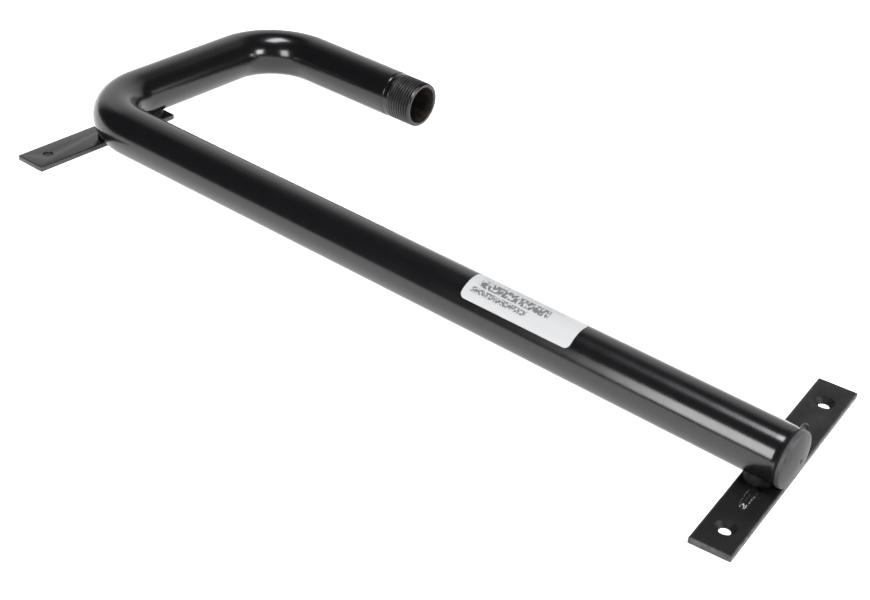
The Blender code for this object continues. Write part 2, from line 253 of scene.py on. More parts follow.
def mesh_object(name, points, faces, materials, face_materials=None):
    """A smooth-shaded mesh object with consistent outward faces."""
    mesh = bpy.data.meshes.new(name)
    mesh.from_pydata([tuple(point) for point in points], [], faces)
    piece = add_object(name, mesh, materials)
    if face_materials is not None:
        mesh.polygons.foreach_set("material_index", face_materials)
    tidy_mesh(mesh)
    return piece


def tidy_mesh(mesh):
    """Turns every face outward, shades it smooth and keeps corners above SHARP_ANGLE crisp."""
    work = bmesh.new()
    work.from_mesh(mesh)
    bmesh.ops.recalc_face_normals(work, faces=work.faces)
    work.to_mesh(mesh)
    work.free()
    mesh.polygons.foreach_set("use_smooth", [True] * len(mesh.polygons))
    mesh.set_sharp_from_angle(angle=SHARP_ANGLE)
    mesh.update()


def band_faces(first, second, count):
    """Quads between two rings of count points that start at point numbers first and second."""
    return [
        (first + i, first + (i + 1) % count, second + (i + 1) % count, second + i)
        for i in range(count)
    ]


def loft(rings, joined=False):
    """The points and faces of a row of equal rings. joined also joins the last ring to the first."""
    count = len(rings[0])
    points = [point for ring in rings for point in ring]
    faces = []
    for i in range(len(rings) - 1):
        faces += band_faces(i * count, (i + 1) * count, count)
    if joined:
        faces += band_faces((len(rings) - 1) * count, 0, count)
    return points, faces


def closed_loft(name, rings, materials):
    """A solid from a row of rings, closed by a flat face at each end."""
    points, faces = loft(rings)
    count = len(rings[0])
    faces.append(tuple(range(count)))
    faces.append(tuple(range(len(points) - count, len(points))))
    return mesh_object(name, points, faces, materials)


def circle_round_x(x, centre, radius_at):
    """A ring of the pipe's number of points round an axis along +X."""
    ring = []
    for i in range(PIPE_SIDES):
        angle = TURN * i / PIPE_SIDES
        r = radius_at(angle)
        ring.append(Vector((x, centre.y + r * math.cos(angle), centre.z + r * math.sin(angle))))
    return ring


def lathe(name, profile, centre, materials, second_bands=()):
    """A solid of revolution about +X through centre: profile is (x, radius) from pole to pole.
    The bands numbered in second_bands get the second material."""
    rings = [circle_round_x(x, centre, lambda angle: r) for x, r in profile]
    points, faces = loft(rings)
    for ring, x in ((0, profile[0][0]), (len(rings) - 1, profile[-1][0])):
        pole = len(points)
        points.append(Vector((x, centre.y, centre.z)))
        start = ring * PIPE_SIDES
        faces += [(start + i, start + (i + 1) % PIPE_SIDES, pole) for i in range(PIPE_SIDES)]
    face_materials = [1 if i // PIPE_SIDES in second_bands else 0 for i in range(len(faces))]
    return mesh_object(name, points, faces, materials, face_materials)


def finish_piece(piece, slot, *nodes):
    """Ties a piece to the frame: its body, and the CAD nodes it stands for, which it hides. slot is not used.
    """
    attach(piece, "root")
    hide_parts(*nodes)
    return piece


# ---------------------------------------------------------------- pipe

def pipe_stations(step):
    """(point on the axis, heading, share of the way round a bend) from the closed end to the thread."""
    stations = []
    bend_low_y = LONG_LEG_Y + BEND_RADIUS
    bend_high_y = SHORT_LEG_Y - BEND_RADIUS
    bend_x = CROSS_LEG_X + BEND_RADIUS
    thread_x = MOUTH_X - THREAD_LENGTH
    stations += straight_stations((CLOSED_END_X, LONG_LEG_Y), (bend_x, LONG_LEG_Y), step)
    stations += bend_stations((bend_x, bend_low_y), math.radians(270), math.radians(180))
    stations += straight_stations((CROSS_LEG_X, bend_low_y), (CROSS_LEG_X, bend_high_y), step)
    stations += bend_stations((bend_x, bend_high_y), math.radians(180), math.radians(90))
    stations += straight_stations((bend_x, SHORT_LEG_Y), (thread_x, SHORT_LEG_Y), step)
    return stations


def straight_stations(start, end, step):
    """Stations along a leg, without its two ends where a bend follows."""
    start = Vector((start[0], start[1], AXIS_Z))
    end = Vector((end[0], end[1], AXIS_Z))
    run = end - start
    count = max(2, round(run.length / step))
    heading = math.atan2(run.y, run.x)
    return [(start.lerp(end, i / count), heading, 0) for i in range(count)]


def bend_stations(centre, start_angle, end_angle):
    """Stations round a bend, seen from above, from start_angle to end_angle about its centre."""
    stations = []
    for i in range(BEND_STEPS):
        share = i / BEND_STEPS
        angle = start_angle + (end_angle - start_angle) * share
        point = Vector((
            centre[0] + BEND_RADIUS * math.cos(angle),
            centre[1] + BEND_RADIUS * math.sin(angle),
            AXIS_Z,
        ))
        stations.append((point, angle - TURN / 4, share))
    return stations


def pipe_ring(point, heading, radius_at, flat=1):
    """One ring of the pipe. Angles start on the outside of the J and go up over the top.
    flat narrows the ring across, as bending does."""
    side = Vector((-math.sin(heading), math.cos(heading), 0))
    ring = []
    for i in range(PIPE_SIDES):
        angle = TURN * i / PIPE_SIDES
        radius = radius_at(angle)
        across = side * (radius * flat * math.cos(angle))
        ring.append(point + across + Vector((0, 0, radius * math.sin(angle))))
    return ring


def closed_end_radius(x):
    """The pipe's outside radius near the closed end, where it was ground down for the weld."""
    share = (x - (CLOSED_END_X - END_TAPER_LENGTH)) / END_TAPER_LENGTH
    if share <= 0:
        return PIPE_RADIUS
    return PIPE_RADIUS - END_TAPER_DEPTH * share ** END_TAPER_CURVE


def thread_radius(depth, angle):
    """The outside radius at a depth from the open end: a tapered helical thread, softened by paint."""
    phase = (depth / THREAD_PITCH + angle / TURN) % 1
    groove = THREAD_DEPTH
    if depth > THREAD_FULL_LENGTH:
        groove *= (THREAD_LENGTH - depth) / (THREAD_LENGTH - THREAD_FULL_LENGTH)
    crest = THREAD_FACE_CREST + depth * THREAD_SLOPE
    radius = crest - groove * (0.5 - 0.5 * math.cos(TURN * phase))
    shoulder = PIPE_RADIUS
    if depth < THREAD_SHOULDER_TO:
        shoulder -= THREAD_SHOULDER_DROP
    elif depth < THREAD_LENGTH:
        share = (THREAD_LENGTH - depth) / (THREAD_LENGTH - THREAD_SHOULDER_TO)
        shoulder -= THREAD_SHOULDER_DROP * share ** 2
    return min(shoulder, radius, THREAD_FACE_EDGE + depth)


def outer_rings():
    """The outside of the pipe, from the ground-down closed end to the start of the thread."""
    rings = []
    for i in range(END_TAPER_STEPS + 1):
        x = CLOSED_END_X - END_TAPER_LENGTH * i / END_TAPER_STEPS
        point = Vector((x, LONG_LEG_Y, AXIS_Z))
        rings.append(pipe_ring(point, math.pi, lambda angle: closed_end_radius(x)))
    for point, heading, bend_share in pipe_stations(LEG_STEP)[1:]:
        flat = 1 - BEND_FLATTENING * math.sin(math.pi * bend_share) ** 2
        rings.append(pipe_ring(point, heading, lambda angle: PIPE_RADIUS, flat))
    return rings


def thread_rings():
    """The thread, from its run-out on the leg to the open end."""
    count = round(THREAD_LENGTH / THREAD_PITCH * RINGS_PER_PITCH)
    rings = []
    for i in range(count + 1):
        depth = THREAD_LENGTH * (1 - i / count)
        point = Vector((MOUTH_X - depth, SHORT_LEG_Y, AXIS_Z))
        rings.append(pipe_ring(point, 0, lambda angle: thread_radius(depth, angle)))
    return rings


def bore_rings():
    """The inside of the pipe, from the mouth back to the closed end."""
    rings = []
    for depth in (0, BORE_CHAMFER):
        point = Vector((MOUTH_X - depth, SHORT_LEG_Y, AXIS_Z))
        rings.append(pipe_ring(point, 0, lambda angle: BORE_RADIUS + BORE_CHAMFER - depth))
    for point, heading, _ in reversed(pipe_stations(BORE_STEP)):
        rings.append(pipe_ring(point, heading, lambda angle: BORE_RADIUS))
    return rings


def make_pipe(paint, bore, dull):
    """The whole pipe as one closed skin. Paint covers the outside up to the last turns of the thread."""
    leg = outer_rings()
    thread = thread_rings()
    inner = bore_rings()
    points, faces = loft(leg + thread + inner, joined=True)
    face_materials = []
    for i in range(len(leg) + len(thread) + len(inner)):
        depth = THREAD_LENGTH * (1 - (i - len(leg)) / (len(thread) - 1))
        if i > len(leg) + len(thread):
            kind = BORE_SLOT
        elif THREAD_DULL_FROM < depth < THREAD_PAINTED_FROM:
            kind = THREAD_SLOT
        else:
            kind = PAINT_SLOT
        face_materials += [kind] * PIPE_SIDES
    piece = mesh_object("pipe", points, faces, [paint, bore, dull], face_materials)
    return finish_piece(piece, "black_paint", "bent_pipe")


# ---------------------------------------------------------------- closed end

def make_end_cap(face_paint, rim_paint):
    """The plate that closes the long leg: ground back edge, dusty side, crowned face and punched dimple."""
    shoulder_x = CAP_RIM_X - CAP_SHOULDER_LENGTH
    profile = [(CAP_BACK_X, PIPE_RADIUS - CAP_BACK_DROP), (CAP_SIDE_X, PIPE_RADIUS)]
    for i in range(CAP_SHOULDER_STEPS + 1):
        angle = TURN / 4 * CAP_SHOULDER_TURN * i / CAP_SHOULDER_STEPS
        profile.append((
            shoulder_x + CAP_SHOULDER_LENGTH * math.sin(angle),
            PIPE_RADIUS - CAP_SHOULDER_DROP * (1 - math.cos(angle)),
        ))
    rim_rings = len(profile)
    edge_x, edge_r = profile[-1]
    for i in range(1, CAP_FACE_STEPS + 1):
        r = edge_r * (1 - i / CAP_FACE_STEPS) + TINY
        profile.append((edge_x + (CAP_CROWN_X - edge_x) * (1 - (r / edge_r) ** 2), r))
    centre = Vector((0, LONG_LEG_Y, AXIS_Z))
    piece = lathe("cap", profile, centre, [face_paint, rim_paint], range(1, rim_rings - 1))
    punch_dimple(piece, centre + DIMPLE_SHIFT)
    return finish_piece(piece, "black_paint", "end_cap")


def punch_dimple(piece, centre):
    """Sinks the face of the cap into a small round dent, a little off its middle."""
    for vertex in piece.data.vertices:
        if vertex.co.x > CAP_RIM_X:
            offset = Vector((0, vertex.co.y - centre.y, vertex.co.z - centre.z)).length
            vertex.co.x -= DIMPLE_DEPTH * math.exp(-2 * (offset / DIMPLE_RADIUS) ** 2)


def make_cap_weld(paint):
    """The dressed weld between pipe and plate: a low ring with the slight waves of the grinder."""
    centre = Vector((0, LONG_LEG_Y, AXIS_Z))
    rings = []
    for k in range(WELD_RING_STEPS + 1):
        share = k / WELD_RING_STEPS
        x = WELD_RING_LOW.x + (WELD_RING_HIGH.x - WELD_RING_LOW.x) * share
        rings.append(circle_round_x(x, centre, lambda angle: cap_weld_radius(share, angle)))
    for x in (WELD_RING_HIGH.x, WELD_RING_LOW.x):
        rings.append(circle_round_x(x, centre, lambda angle: BORE_RADIUS))
    points, faces = loft(rings, joined=True)
    piece = mesh_object("cap_weld", points, faces, [paint])
    return finish_piece(piece, "weld_paint", "end_cap_weld")


def cap_weld_radius(share, angle):
    """The weld ring's outside radius, a share of the way from the pipe to the plate."""
    wave = sum(height * math.sin(count * angle + phase) for count, phase, height in WELD_RING_WAVES)
    return PIPE_RADIUS - WELD_RING_SINK * (1 - share) + wave * math.sin(math.pi * share)


# ---------------------------------------------------------------- straps

def strap_blank(name, length, materials):
    """A flat bar along its own Y with rolled edges, standing on z = 0."""
    work = bmesh.new()
    bmesh.ops.create_cube(work, size=1)
    for corner in work.verts:
        corner.co.x *= STRAP_WIDTH
        corner.co.y *= length
        corner.co.z = (corner.co.z + 0.5) * STRAP_THICKNESS
    bmesh.ops.bevel(
        work, geom=work.edges[:], offset=STRAP_EDGE, segments=STRAP_EDGE_STEPS, profile=0.5, affect="EDGES",
    )
    mesh = bpy.data.meshes.new(name)
    work.to_mesh(mesh)
    work.free()
    return add_object(name, mesh, materials)


def hole_profile(countersunk):
    """(height, radius) of the hole cutter, from below the strap to above it, with rounded lips."""
    profile = [(-HOLE_LIP, HOLE_RADIUS + HOLE_LIP), (0, HOLE_RADIUS + HOLE_LIP)]
    for i in range(1, LIP_STEPS + 1):
        t = TURN / 4 * i / LIP_STEPS
        profile.append((HOLE_LIP * (1 - math.cos(t)), HOLE_RADIUS + HOLE_LIP * (1 - math.sin(t))))
    top_radius = HOLE_RADIUS
    if countersunk:
        top_radius = COUNTERSINK_RADIUS
        cone = COUNTERSINK_RADIUS - HOLE_RADIUS
        profile.append((STRAP_THICKNESS - cone - HOLE_LIP / 2, HOLE_RADIUS))
    for i in range(LIP_STEPS + 1):
        t = TURN / 4 * i / LIP_STEPS
        profile.append((
            STRAP_THICKNESS - HOLE_LIP * (1 - math.sin(t)),
            top_radius + HOLE_LIP * (1 - math.cos(t)),
        ))
    profile.append((STRAP_THICKNESS + HOLE_LIP, top_radius + HOLE_LIP))
    return profile


def hole_cutter(place, countersunk):
    """A closed lathe about +Z at place on the strap."""
    turns = [TURN * i / HOLE_SIDES for i in range(HOLE_SIDES)]
    rings = [
        [Vector((place.x + r * math.cos(turn), place.y + r * math.sin(turn), z)) for turn in turns]
        for z, r in hole_profile(countersunk)
    ]
    return closed_loft("cutter", rings, [])


def drill(piece, holes, countersunk):
    """Cuts the holes out of a strap blank and applies the cut."""
    for place in holes:
        cutter = hole_cutter(place, countersunk)
        cut = piece.modifiers.new("hole", "BOOLEAN")
        cut.operation = "DIFFERENCE"
        cut.solver = "EXACT"
        cut.object = cutter
        bpy.context.view_layer.update()
        evaluated = piece.evaluated_get(bpy.context.evaluated_depsgraph_get())
        drilled = bpy.data.meshes.new_from_object(evaluated)
        piece.modifiers.clear()
        piece.data = drilled
        bpy.data.objects.remove(cutter)


def make_strap(name, node, length, angle, holes, countersunk, paint):
    """A drilled strap, turned by angle about +Z and centred on its CAD node."""
    low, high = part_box(node)
    centre = (low + high) / 2
    piece = strap_blank(name, length, [paint])
    drill(piece, holes, countersunk)
    piece.data.transform(Matrix.Translation((centre.x, centre.y, 0)) @ Matrix.Rotation(angle, 4, "Z"))
    tidy_mesh(piece.data)
    return finish_piece(piece, "strap_paint", node)


# ---------------------------------------------------------------- welds

def lump(share, seed):
    """A repeatable lumpiness between about -1 and 1 along a bead."""
    return sum(
        weight * math.sin(waves * share + seed_use * seed) for weight, waves, seed_use in BEAD_LUMPS
    )


def make_bead(name, node, seed, paint):
    """A hand-laid weld bead along the near strap: half-round, rippled, a little uneven."""
    low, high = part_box(node)
    foot = Vector(((low.x + high.x) / 2, (low.y + high.y) / 2, STRAP_THICKNESS))
    along = Vector((-math.sin(NEAR_STRAP_ANGLE), math.cos(NEAR_STRAP_ANGLE), 0))
    across = Vector((math.cos(NEAR_STRAP_ANGLE), math.sin(NEAR_STRAP_ANGLE), 0))
    rings = []
    for k in range(BEAD_STEPS + 1):
        share = k / BEAD_STEPS
        run = (share - 0.5) * BEAD_LENGTH
        end = math.sqrt(max(TINY, 1 - abs(2 * share - 1) ** BEAD_END_BLUNTNESS))
        ripple = BEAD_RIPPLE * (1 - abs(math.sin(math.pi * run / BEAD_RIPPLE_PITCH + seed)))
        width = BEAD_HALF_WIDTH * end * (BEAD_MEAN_WIDTH + BEAD_WIDTH_LUMP * lump(share, seed))
        height = BEAD_HEIGHT * end * (BEAD_MEAN_HEIGHT + BEAD_HEIGHT_LUMP * lump(share, seed + 1) - ripple)
        ring = []
        for i in range(BEAD_ARC_STEPS + 1):
            t = math.pi * i / BEAD_ARC_STEPS
            offset = along * (run + BEAD_BOW * math.sin(t)) + across * (-width * math.cos(t))
            ring.append(foot + offset + Vector((0, 0, height * math.sin(t))))
        ring.append(ring[-1] - Vector((0, 0, BEAD_SINK)))
        ring.append(ring[0] - Vector((0, 0, BEAD_SINK)))
        rings.append(ring)
    return finish_piece(closed_loft(name, rings, [paint]), "weld_paint", node)


def make_fillet(name, node, side, seed, paint):
    """The fillet between the long leg and the near strap; side is -1 in front of the leg and 1 behind."""
    low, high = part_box(node)
    length = high.x - low.x
    rings = []
    for k in range(FILLET_STEPS + 1):
        share = k / FILLET_STEPS
        end = math.sqrt(max(FILLET_END_SIZE ** 2, 1 - abs(2 * share - 1) ** FILLET_END_BLUNTNESS))
        turn = math.pi * length * share / FILLET_RIPPLE_PITCH + seed
        ripple = 1 - FILLET_RIPPLE_DEPTH * abs(math.sin(turn))
        rings.append(fillet_ring(low.x + length * share, side, end, ripple))
    return finish_piece(closed_loft(name, rings, [paint]), "weld_paint", node)


def fillet_ring(x, side, size, ripple):
    """A cross-section of a fillet: up the pipe from its foot, then over the weld's face to the toe."""
    sunk = PIPE_RADIUS - FILLET_SINK
    foot = sunk * math.sin(FILLET_FOOT)
    arc = (FILLET_TOP - FILLET_FOOT) * size
    ring = []
    for i in range(FILLET_ARC_STEPS + 1):
        angle = FILLET_FOOT + arc * i / FILLET_ARC_STEPS
        ring.append(Vector((x, LONG_LEG_Y + side * sunk * math.sin(angle), AXIS_Z - sunk * math.cos(angle))))
    top = ring[-1]
    toe_y = LONG_LEG_Y + side * (foot + (FILLET_TOE - foot) * size)
    toe = Vector((x, toe_y, STRAP_THICKNESS - FILLET_SINK))
    outward = Vector((0, side, 1)).normalized()
    crown = (FILLET_CROWN + FILLET_RIPPLE * ripple) * size
    for i in range(1, FILLET_ARC_STEPS + 1):
        t = i / FILLET_ARC_STEPS
        ring.append(top.lerp(toe, t) + outward * (crown * math.sin(math.pi * t)))
    return ring


# ---------------------------------------------------------------- label

def label_columns():
    """Places along the label from 0 to its length, closer together at its rounded corners."""
    length = LABEL_HIGH.x - LABEL_LOW.x
    corner = [
        LABEL_CORNER * (1 - math.cos(TURN / 4 * i / LABEL_CORNER_STEPS)) for i in range(LABEL_CORNER_STEPS)
    ]
    middle_steps = LABEL_COLUMNS - 2 * LABEL_CORNER_STEPS
    middle = [
        LABEL_CORNER + (length - 2 * LABEL_CORNER) * i / middle_steps
        for i in range(middle_steps + 1)
    ]
    return corner + middle + [length - place for place in reversed(corner)]


def corner_inset(place, length):
    """How far the label's edge is drawn in at a place along it, for its rounded corners."""
    into = LABEL_CORNER - min(place, length - place)
    if into <= 0:
        return 0
    return LABEL_CORNER - math.sqrt(max(0, LABEL_CORNER ** 2 - into ** 2))


def make_label(paper):
    """A thin sheet wrapped round the long leg, with its print laid out by a UV map."""
    length = LABEL_HIGH.x - LABEL_LOW.x
    wrap = (LABEL_TO - LABEL_FROM) * PIPE_RADIUS
    points = []
    spots = []
    for lift in (LABEL_THICKNESS, -LABEL_THICKNESS / 2):
        for place in label_columns():
            inset = corner_inset(place, length)
            for j in range(LABEL_ROWS + 1):
                arc = inset + (wrap - 2 * inset) * j / LABEL_ROWS
                angle = LABEL_TO - arc / PIPE_RADIUS
                r = PIPE_RADIUS + lift
                points.append(Vector((
                    LABEL_LOW.x + place,
                    LONG_LEG_Y + r * math.cos(angle),
                    AXIS_Z + r * math.sin(angle),
                )))
                spots.append((place / length, arc / wrap))
    faces = label_faces(len(label_columns()), LABEL_ROWS + 1)
    piece = mesh_object("label_sheet", points, faces, [paper])
    layer = piece.data.uv_layers.new(name="print")
    for loop in piece.data.loops:
        layer.data[loop.index].uv = spots[loop.vertex_index]
    return finish_piece(piece, "label_paper", "label")


def label_faces(columns, rows):
    """Outer sheet, inner sheet and the thin edge between them."""
    def outer(i, j):
        return i * rows + j

    def inner(i, j):
        return columns * rows + i * rows + j

    faces = []
    for i in range(columns - 1):
        for j in range(rows - 1):
            faces.append((outer(i, j), outer(i + 1, j), outer(i + 1, j + 1), outer(i, j + 1)))
            faces.append((inner(i, j), inner(i, j + 1), inner(i + 1, j + 1), inner(i + 1, j)))
    rim = [(i, 0) for i in range(columns)]
    rim += [(columns - 1, j) for j in range(1, rows)]
    rim += [(i, rows - 1) for i in range(columns - 2, -1, -1)]
    rim += [(0, j) for j in range(rows - 2, 0, -1)]
    for k, (i, j) in enumerate(rim):
        next_i, next_j = rim[(k + 1) % len(rim)]
        faces.append((outer(i, j), inner(i, j), inner(next_i, next_j), outer(next_i, next_j)))
    return faces


# ---------------------------------------------------------------- materials

class Tree:
    """A material's node tree, with short ways to add a node and join it to others."""

    def __init__(self, owner):
        owner.use_nodes = True
        self.nodes = owner.node_tree.nodes
        self.links = owner.node_tree.links

    def add(self, kind, inputs=None, **settings):
        """Adds a node. An input is a plain value, or another node's output to link."""
        node = self.nodes.new(kind)
        for name, value in settings.items():
            setattr(node, name, value)
        for name, value in (inputs or {}).items():
            if isinstance(value, bpy.types.NodeSocket):
                self.links.new(value, node.inputs[name])
            else:
                node.inputs[name].default_value = value
        return node

    def math(self, operation, first, second=0.0):
        return self.add("ShaderNodeMath", {0: first, 1: second}, operation=operation).outputs[0]

    def noise(self, place, scale, detail=2.0, roughness=0.5):
        """Soft noise between 0 and 1; scale is in patches per metre."""
        node = self.add(
            "ShaderNodeTexNoise", {"Vector": place, "Scale": scale, "Detail": detail, "Roughness": roughness},
        )
        return node.outputs["Fac"]

    def spread(self, value, from_low, from_high, to_low, to_high):
        """Maps one range of a value to another and holds it there."""
        node = self.add("ShaderNodeMapRange", {
            "Value": value, "From Min": from_low, "From Max": from_high, "To Min": to_low, "To Max": to_high,
        })
        return node.outputs["Result"]

    def patchy(self, noise, low, high):
        """A value that wanders from low to high with a noise."""
        return self.spread(noise, NOISE_LOW, NOISE_HIGH, low, high)

    def blend(self, share, first, second):
        """The first colour where share is 0 and the second where it is 1."""
        node = self.add("ShaderNodeMix", data_type="RGBA")
        for socket, value in ((node.inputs[0], share), (node.inputs[6], first), (node.inputs[7], second)):
            if isinstance(value, bpy.types.NodeSocket):
                self.links.new(value, socket)
            else:
                socket.default_value = value
        return node.outputs[2]

    def bump(self, height, distance, strength=1.0, normal=None):
        """A normal for relief of a height of distance metres, laid over another normal if given."""
        inputs = {"Height": height, "Distance": distance, "Strength": strength}
        if normal is not None:
            inputs["Normal"] = normal
        return self.add("ShaderNodeBump", inputs).outputs["Normal"]


def new_material(name):
    """A material with its tree, its shader and the surface place in metres."""
    material = bpy.data.materials.new(name)
    tree = Tree(material)
    place = tree.add("ShaderNodeTexCoord").outputs["Object"]
    return material, tree, tree.nodes["Principled BSDF"], place


def drive(tree, shader, **sockets):
    """Links node outputs to the shader's inputs; underscores stand for spaces."""
    for name, output in sockets.items():
        tree.links.new(output, shader.inputs[name.replace("_", " ")])


def pipe_paint():
    """Gloss black powder coat: orange peel, faint handling marks and a little settled dust."""
    material, tree, shader, place = new_material("gloss_black_paint")
    specks = tree.noise(place, scale=900, detail=3, roughness=0.7)
    dust = tree.spread(specks, from_low=0.66, from_high=0.80, to_low=0, to_high=0.5)
    colour = tree.blend(dust, PAINT_BLACK, PAINT_DUST)
    smears = tree.noise(place, scale=38, detail=4, roughness=0.6)
    roughness = tree.patchy(smears, low=0.17, high=0.22)
    peel = tree.bump(tree.noise(place, scale=420), distance=0.00002, strength=0.30)
    waves = tree.bump(tree.noise(place, scale=60, detail=1), distance=0.00010, strength=0.30, normal=peel)
    drive(tree, shader, Base_Color=colour, Roughness=roughness, Normal=waves)
    return material


def strap_edge_nearness(tree, place, node, angle, length):
    """0 over the flat of a strap, rising to 1 at its long and short edges."""
    low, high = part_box(node)
    middle = (low + high) / 2
    moved = tree.add("ShaderNodeMapping", {"Vector": place, "Location": (-middle.x, -middle.y, 0)})
    turned = tree.add(
        "ShaderNodeVectorRotate", {"Vector": moved.outputs[0], "Angle": -angle}, rotation_type="Z_AXIS",
    )
    spot = tree.add("ShaderNodeSeparateXYZ", {"Vector": turned.outputs[0]}).outputs
    across = tree.math("SUBTRACT", tree.math("ABSOLUTE", spot["X"]), STRAP_WIDTH / 2)
    along = tree.math("SUBTRACT", tree.math("ABSOLUTE", spot["Y"]), length / 2)
    past_edge = tree.math("MAXIMUM", across, along)
    return tree.spread(past_edge, -STRAP_EDGE_WEAR_AND_SHEEN, -STRAP_EDGE_WEAR_AND_SHEEN / 4, to_low=0, to_high=1)


def strap_paint(name, gloss, rough_low, rough_high, edge_wear_and_sheen, node, angle, length):
    """Thinner black paint over hot-rolled flat bar: mill texture, and edges and corners painted lighter,
    partly rubbed wear and partly a painted highlight.
    """
    material, tree, shader, place = new_material(name)
    scuffs = tree.noise(place, scale=240, detail=4, roughness=0.65)
    # Lighter paint near the edges: rubbed wear, and a painted highlight along the edges.
    rubbed_and_glinting = tree.spread(scuffs, from_low=0.30, from_high=0.65, to_low=0.25 * edge_wear_and_sheen, to_high=edge_wear_and_sheen)
    edge = strap_edge_nearness(tree, place, node, angle, length)
    blotches = tree.noise(place, scale=70, detail=4, roughness=0.65)
    patches = tree.spread(blotches, from_low=0.55, from_high=0.75, to_low=0, to_high=0.10)
    worn_and_glinting = tree.math("MAXIMUM", tree.math("MULTIPLY", edge, rubbed_and_glinting), patches)
    colour = tree.blend(worn_and_glinting, STRAP_BLACK, LIGHT_MARKS_AND_PAINTED_GLINT)
    clouds = tree.noise(place, scale=90, detail=4, roughness=0.6)
    roughness = tree.patchy(clouds, rough_low, rough_high)
    mill_scale = tree.noise(place, scale=700, detail=3, roughness=0.6)
    scaled = tree.bump(mill_scale, distance=0.00004, strength=0.4)
    rolled = tree.bump(tree.noise(place, scale=120), distance=0.00012, strength=0.35, normal=scaled)
    shader.inputs["Specular IOR Level"].default_value = gloss
    drive(tree, shader, Base_Color=colour, Roughness=roughness, Normal=rolled)
    return material


def weld_paint(name, gloss, rough_low, rough_high, pit_depth):
    """The same black paint over weld metal, with small pits and spatter."""
    material, tree, shader, place = new_material(name)
    specks = tree.noise(place, scale=600, detail=3)
    spatter = tree.spread(specks, from_low=0.50, from_high=0.80, to_low=0, to_high=0.08)
    colour = tree.blend(spatter, WELD_BLACK, LIGHT_MARKS_AND_PAINTED_GLINT)
    roughness = tree.patchy(tree.noise(place, scale=200, detail=3), rough_low, rough_high)
    pits = tree.bump(tree.noise(place, scale=700), pit_depth, strength=0.5)
    shader.inputs["Specular IOR Level"].default_value = gloss
    drive(tree, shader, Base_Color=colour, Roughness=roughness, Normal=pits)
    return material


def cap_paint(name, dark, dusty, gloss, rough_low, rough_high):
    """Dull, thinly covered paint on the plate that closes the pipe."""
    material, tree, shader, place = new_material(name)
    specks = tree.noise(place, scale=300, detail=4, roughness=0.65)
    colour = tree.blend(tree.patchy(specks, low=0.2, high=1), dark, dusty)
    roughness = tree.patchy(tree.noise(place, scale=150, detail=3), rough_low, rough_high)
    grain = tree.bump(tree.noise(place, scale=900, detail=3), distance=0.00004, strength=0.4)
    shader.inputs["Specular IOR Level"].default_value = gloss
    drive(tree, shader, Base_Color=colour, Roughness=roughness, Normal=grain)
    return material


def dull_thread():
    """Threads with thin, dusty paint: dark flanks, and crests painted a little lighter, a painted glint."""
    material, tree, shader, place = new_material("dull_black_thread")
    pointed = tree.add("ShaderNodeNewGeometry").outputs["Pointiness"]
    # Crests are painted lighter in noisy patches: a painted glint.
    crest = tree.spread(pointed, from_low=0.52, from_high=0.60, to_low=0, to_high=0.25)
    rubbed_and_glinting = tree.math("MULTIPLY", crest, tree.noise(place, scale=500, detail=3, roughness=0.6))
    colour = tree.blend(rubbed_and_glinting, THREAD_BLACK, LIGHT_MARKS_AND_PAINTED_GLINT)
    roughness = tree.patchy(tree.noise(place, scale=300, detail=3), low=0.30, high=0.42)
    specks = tree.noise(place, scale=1600, detail=3, roughness=0.6)
    grit = tree.bump(specks, distance=0.00005, strength=0.5)
    drive(tree, shader, Base_Color=colour, Roughness=roughness, Normal=grit)
    return material


def bore_metal():
    """The unpainted inside of the pipe: dark mill scale with a brown bloom."""
    material, tree, shader, place = new_material("bore_mill_scale")
    blotches = tree.noise(place, scale=180, detail=5, roughness=0.65)
    bloom = tree.spread(blotches, from_low=0.40, from_high=0.65, to_low=0, to_high=1)
    colour = tree.blend(bloom, BORE_BROWN, BORE_RUST)
    roughness = tree.spread(bloom, from_low=0, from_high=1, to_low=0.45, to_high=0.75)
    specks = tree.noise(place, scale=1500, detail=4, roughness=0.6)
    grain = tree.bump(specks, distance=0.00008, strength=0.6)
    drive(tree, shader, Base_Color=colour, Roughness=roughness, Normal=grain)
    return material


def between(tree, value, low, high):
    """1 where value lies from low to high, with soft ends."""
    rise = tree.spread(value, low - PRINT_ROW_EDGE, low + PRINT_ROW_EDGE, to_low=0, to_high=1)
    fall = tree.spread(value, high - PRINT_ROW_EDGE, high + PRINT_ROW_EDGE, to_low=1, to_high=0)
    return tree.math("MULTIPLY", rise, fall)


def printed_row(tree, along, across, row, strength):
    """A row of generic marks: uneven strokes between two heights, over part of the label's length."""
    inside = tree.math(
        "MULTIPLY",
        between(tree, along, row["start"], row["end"]),
        between(tree, across, row["low"], row["high"]),
    )
    spot = tree.add("ShaderNodeCombineXYZ", {
        "X": tree.math("MULTIPLY", along, row["cells"]),
        "Y": tree.math("MULTIPLY", across, PRINT_STROKES_HIGH / (row["high"] - row["low"])),
        "Z": row["cells"],
    }).outputs[0]
    fill = row["fill"]
    marks = tree.noise(spot, scale=1.0, detail=1)
    strokes = tree.spread(marks, fill - PRINT_STROKE_EDGE, fill + PRINT_STROKE_EDGE, to_low=0, to_high=1)
    return tree.math("MULTIPLY", tree.math("MULTIPLY", inside, strokes), strength)


